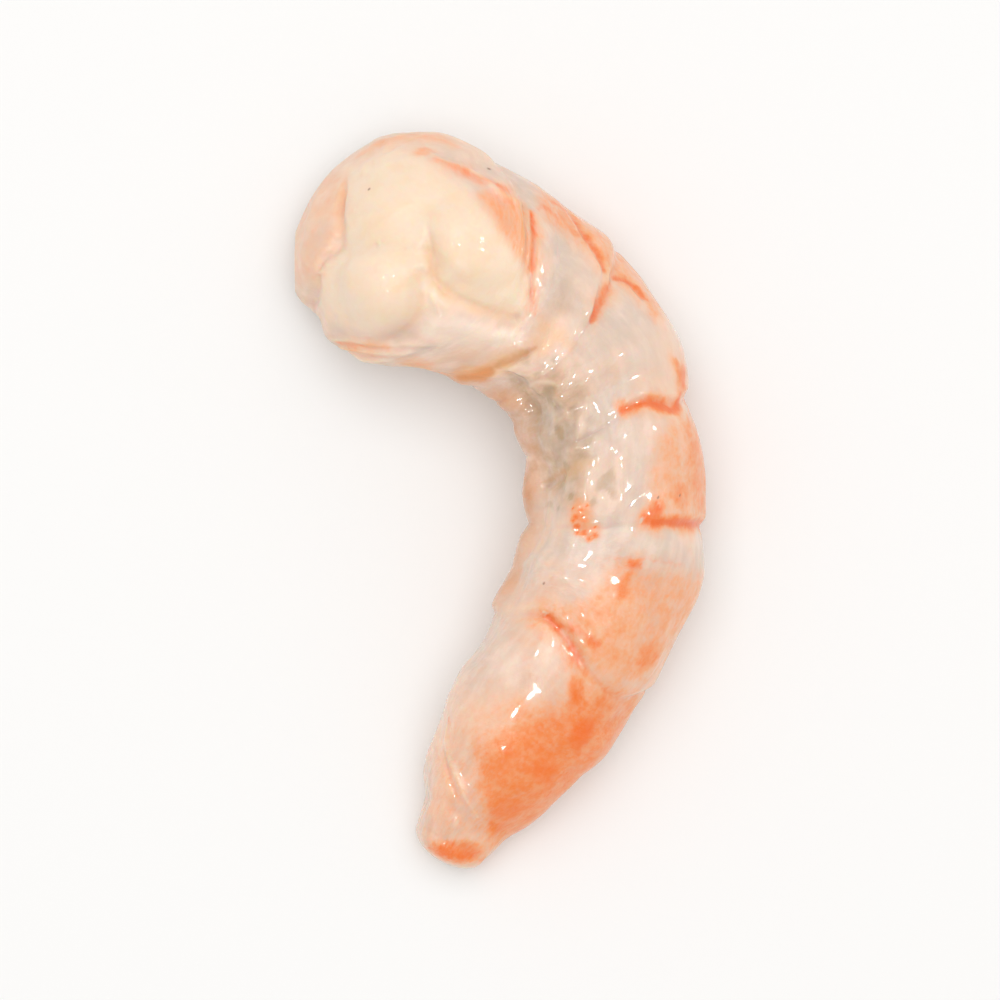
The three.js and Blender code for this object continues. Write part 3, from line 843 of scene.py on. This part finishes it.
# Layers of colour on the flesh by mask: how ragged the edge is, the mask's value where the layer
# starts and where it is full, and the layer's strength and colour
LAYERS = {
    "grey_tint_and_shade": (1.0, 0.1, 1.1, 0.8, GREY_GREEN),
    "honey_shade": (0.6, 0.1, 1.0, 0.8, HONEY_SHADE),
    "amber_shade": (0.6, 0.05, 1.05, 0.9, AMBER_SHADE),
    "pale_tint_and_highlight": (0.6, 0.1, 1.1, 0.85, WHITISH),
    "red": (1.0, 0.05, 1.0, 0.9, RED_ORANGE),
}

# How the flesh scatters and mirrors light
FLESH_ROUGHNESS, FLESH_SPECULAR = 0.42, 0.25
SCATTER_SHARE, SCATTER_COLOURS, SCATTER_REACH = 0.8, (1, 0.45, 0.25), 0.002
COAT_WEIGHT, COAT_LOST, COAT_ROUGHNESS = 0.75, 0.65, 0.08  # lost where the head end is matte
GRAIN_STRENGTH, GRAIN_DEPTH = 0.5, 0.0001
RIPPLE_SCALE, RIPPLE_DEPTH = 0.55, 0.0008  # of the water on the skin
RIPPLE_LEAST, RIPPLE_LEVEL = 0.05, 0.06  # their strength on steep skin, and what level skin adds


def linear(colour):
    """An sRGB colour of 0 to 255 as a shader colour."""
    parts = [c / 255 for c in colour]
    return *(((c + 0.055) / 1.055) ** 2.4 if c > 0.04 else c / 12.92 for c in parts), 1


class Graph:
    """Short ways to add the shader nodes that the materials use."""

    def __init__(self, material):
        material.use_nodes = True
        self.tree = material.node_tree
        self.shader = self.tree.nodes["Principled BSDF"]

    def add(self, kind, inputs=(), **settings):
        made = self.tree.nodes.new(kind)
        for name, value in settings.items():
            setattr(made, name, value)
        for name, value in dict(inputs).items():
            if isinstance(value, bpy.types.NodeSocket):
                self.tree.links.new(value, made.inputs[name])
            else:
                made.inputs[name].default_value = value
        return made

    def attribute(self, name, output="Fac"):
        return self.add("ShaderNodeAttribute", attribute_name=name).outputs[output]

    def math(self, operation, *values):
        return self.add("ShaderNodeMath", dict(enumerate(values)), operation=operation).outputs[0]

    def scaled_mask(self, mask, by):
        return self.math("MULTIPLY", mask, by)

    def noise(self, vector, scale, detail=3, roughness=0.55):
        inputs = {"Vector": vector, "Scale": scale, "Detail": detail, "Roughness": roughness}
        return self.add("ShaderNodeTexNoise", inputs).outputs["Fac"]

    def step(self, value, low, high):
        inputs = {"Value": value, "From Min": low, "From Max": high}
        return self.add("ShaderNodeMapRange", inputs, interpolation_type="SMOOTHSTEP").outputs[0]

    def mix(self, amount, under, over):
        mixed = self.add("ShaderNodeMix", data_type="RGBA")
        for index, value in ((0, amount), (6, under), (7, over)):
            if isinstance(value, bpy.types.NodeSocket):
                self.tree.links.new(value, mixed.inputs[index])
            else:
                mixed.inputs[index].default_value = value
        return mixed.outputs[2]

    def scaled(self, vector, by):
        inputs = {"Vector": vector, "Scale": by}
        return self.add("ShaderNodeMapping", inputs).outputs[0]

    def bump(self, height, strength, depth):
        inputs = {"Height": height, "Strength": strength, "Distance": depth}
        return self.add("ShaderNodeBump", inputs).outputs[0]


def rough_edge(graph, mask, texture, amount, low, high):
    """A mask with its edge broken up by a texture."""
    shift = graph.math("MULTIPLY", graph.math("SUBTRACT", texture, 0.5), amount)
    return graph.step(graph.math("ADD", mask, shift), low, high)


def layered(graph, colour, mask, texture):
    """The colour with the layer of this mask on it."""
    ragged, low, high, strength, tint = LAYERS[mask]
    amount = rough_edge(graph, graph.attribute(mask), texture, ragged, low, high)
    return graph.mix(graph.scaled_mask(amount, strength), colour, linear(tint))


def clouded(graph, colour, texture, low, high, strength, tint):
    """The colour with a tint on it where the texture is high."""
    amount = graph.scaled_mask(graph.step(texture, low, high), strength)
    return graph.mix(amount, colour, linear(tint))


def flesh_material():
    material = bpy.data.materials.new("wet_flesh")
    graph = Graph(material)
    bar = graph.attribute("bar", "Vector")
    broad = graph.noise(bar, 0.16, 2)
    medium = graph.noise(bar, 0.7, 5, 0.6)
    fine = graph.noise(bar, 2.6, 2, 0.6)
    blotches = graph.noise(bar, 1.1, 3, 0.6)
    across = graph.noise(graph.scaled(bar, (2.2, 0.6, 0.6)), 1.0, 3, 0.6)
    along = graph.noise(graph.scaled(bar, (0.3, 1.0, 1.0)), 1.0, 4, 0.55)
    grains = graph.add("ShaderNodeTexVoronoi", {"Vector": bar, "Scale": 1.3}).outputs["Distance"]

    # clouded, slightly see-through flesh
    colour = graph.mix(graph.step(broad, 0.35, 0.65), linear(GREY_PINK), linear(WARM_PINK))
    colour = clouded(graph, colour, along, 0.4, 0.75, 0.35, WHITISH)
    colour = clouded(graph, colour, medium, 0.45, 0.7, 0.3, WHITISH)
    cream = clouded(graph, linear(CREAM), along, 0.4, 0.7, 0.35, BUTTER)
    meat = rough_edge(graph, graph.attribute("meat"), medium, 0.4, 0.05, 0.95)
    colour = graph.mix(meat, colour, cream)
    # painted shade in creases, hollows and inside the curl, and the grey-green tint of the belly
    for mask in ("grey_tint_and_shade", "honey_shade", "amber_shade"):
        colour = layered(graph, colour, mask, medium)

    # pigment, which lies in fine grains and bands
    speckle = graph.math("MULTIPLY_ADD", across, 0.12, graph.math("MULTIPLY", fine, 0.28))
    speckle = graph.math("MULTIPLY_ADD", blotches, 0.6, speckle)
    orange_mask = graph.attribute("orange")
    mottle = graph.step(speckle, 0.4, 0.62)
    orange = rough_edge(graph, orange_mask, speckle, 0.6, 0.0, 0.95)
    orange = graph.math("MULTIPLY", orange, graph.math("MULTIPLY_ADD", mottle, 0.15, 0.85))
    light = graph.scaled_mask(graph.step(grains, 0.45, 0.1), 0.15)
    orange = graph.math("MULTIPLY", orange, graph.math("SUBTRACT", 1.0, light))
    colour = graph.mix(orange, colour, linear(ORANGE))
    deep = rough_edge(graph, orange_mask, speckle, 0.9, 0.45, 1.2)
    colour = graph.mix(graph.scaled_mask(deep, 0.92), colour, linear(DEEP_ORANGE))
    # pale flesh, with painted highlights on the fold under the meat and the front of the tail
    colour = layered(graph, colour, "pale_tint_and_highlight", medium)
    colour = layered(graph, colour, "red", speckle)
    dark = graph.scaled_mask(graph.step(graph.attribute("dark"), 0.2, 0.9), 0.6)
    colour = graph.mix(dark, colour, linear(DARK_BROWN))

    shader = graph.shader
    graph.tree.links.new(colour, shader.inputs["Base Color"])
    shader.inputs["Roughness"].default_value = FLESH_ROUGHNESS
    shader.inputs["Specular IOR Level"].default_value = FLESH_SPECULAR
    shader.inputs["Subsurface Weight"].default_value = SCATTER_SHARE
    shader.inputs["Subsurface Radius"].default_value = SCATTER_COLOURS
    shader.inputs["Subsurface Scale"].default_value = SCATTER_REACH
    wetness = graph.math("MULTIPLY_ADD", graph.attribute("matte"), -COAT_LOST, COAT_WEIGHT)
    graph.tree.links.new(wetness, shader.inputs["Coat Weight"])
    shader.inputs["Coat Roughness"].default_value = COAT_ROUGHNESS
    grain = graph.bump(fine, GRAIN_STRENGTH, GRAIN_DEPTH)
    graph.tree.links.new(grain, shader.inputs["Normal"])
    ripples = graph.noise(bar, RIPPLE_SCALE, 1, 0.5)
    rippling = graph.math("MULTIPLY_ADD", graph.attribute("film"), RIPPLE_LEVEL, RIPPLE_LEAST)
    film = graph.bump(ripples, rippling, RIPPLE_DEPTH)
    graph.tree.links.new(film, shader.inputs["Coat Normal"])
    return material


# The studio: a pale floor just under the shrimp, light from all round and one large soft lamp
FLOOR_SIZE, FLOOR_DROP = 1.2, 0.05 * MM
FLOOR_COLOUR, FLOOR_ROUGHNESS = (0.9, 0.9, 0.9, 1), 0.7
WORLD_COLOUR, WORLD_STRENGTH = (1, 0.985, 0.96, 1), 0.66
OVERHEAD_SIZE, OVERHEAD_POWER, OVERHEAD_PLACE = 0.9, 3.6, (0.02, 0.14, 0.78)


def floor_object():
    bpy.ops.mesh.primitive_plane_add(size=FLOOR_SIZE, location=(0, 0, -FLOOR_DROP))
    floor = bpy.context.object
    floor.name = "floor"
    material = bpy.data.materials.new("pale_floor")
    material.use_nodes = True
    shader = material.node_tree.nodes["Principled BSDF"]
    shader.inputs["Base Color"].default_value = FLOOR_COLOUR
    shader.inputs["Roughness"].default_value = FLOOR_ROUGHNESS
    floor.data.materials.append(material)
    return floor


def area_light(name, size, power, place, target=(0, 0, 0)):
    light = bpy.data.lights.new(name, "AREA")
    light.size = size
    light.energy = power
    lamp = bpy.data.objects.new(name, light)
    bpy.context.collection.objects.link(lamp)
    lamp.location = place
    lamp.rotation_euler = (Vector(target) - Vector(place)).to_track_quat("-Z", "Y").to_euler()
    return lamp


# Places of the small lamps that only the gloss of the wet flesh shows
GLINT_SIZE, GLINT_POWER = 0.035, 0.4
GLINTS = (
    (-0.03, 0.05, 0.45),
    (0.3, 0.05, 0.4),
    (-0.2, 0.02, 0.4),
    (-0.14, -0.24, 0.38),
    (0.42, 0.1, 0.24),
)


def studio():
    world = bpy.data.worlds.new("studio")
    world.use_nodes = True
    background = world.node_tree.nodes["Background"]
    background.inputs["Color"].default_value = WORLD_COLOUR
    background.inputs["Strength"].default_value = WORLD_STRENGTH
    bpy.context.scene.world = world
    area_light("soft_overhead", OVERHEAD_SIZE, OVERHEAD_POWER, OVERHEAD_PLACE)
    for number, place in enumerate(GLINTS, 1):
        lamp = area_light(f"glint_{number}", GLINT_SIZE, GLINT_POWER, place)
        lamp.visible_diffuse = False


def camera(box, elevation=88, lens=200, fill=0.74):
    """Looks down on the middle of the box, which fills this share of the picture's height."""
    low, high = (Vector(corner) for corner in box)
    data = bpy.data.cameras.new("camera")
    data.lens = lens
    distance = (high.y - low.y) / fill * lens / data.sensor_width
    lean = math.radians(90 - elevation)
    shot = bpy.data.objects.new("camera", data)
    bpy.context.collection.objects.link(shot)
    shot.location = (low + high) / 2 + distance * Vector((0, -math.sin(lean), math.cos(lean)))
    shot.rotation_euler = (lean, 0, 0)
    bpy.context.scene.camera = shot


camera(cad_box)
studio()
floor_object()
bpy.context.scene.view_settings.view_transform = "Standard"

shrimp = shrimp_object(flesh_material())
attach(shrimp, "root")
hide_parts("shrimp")
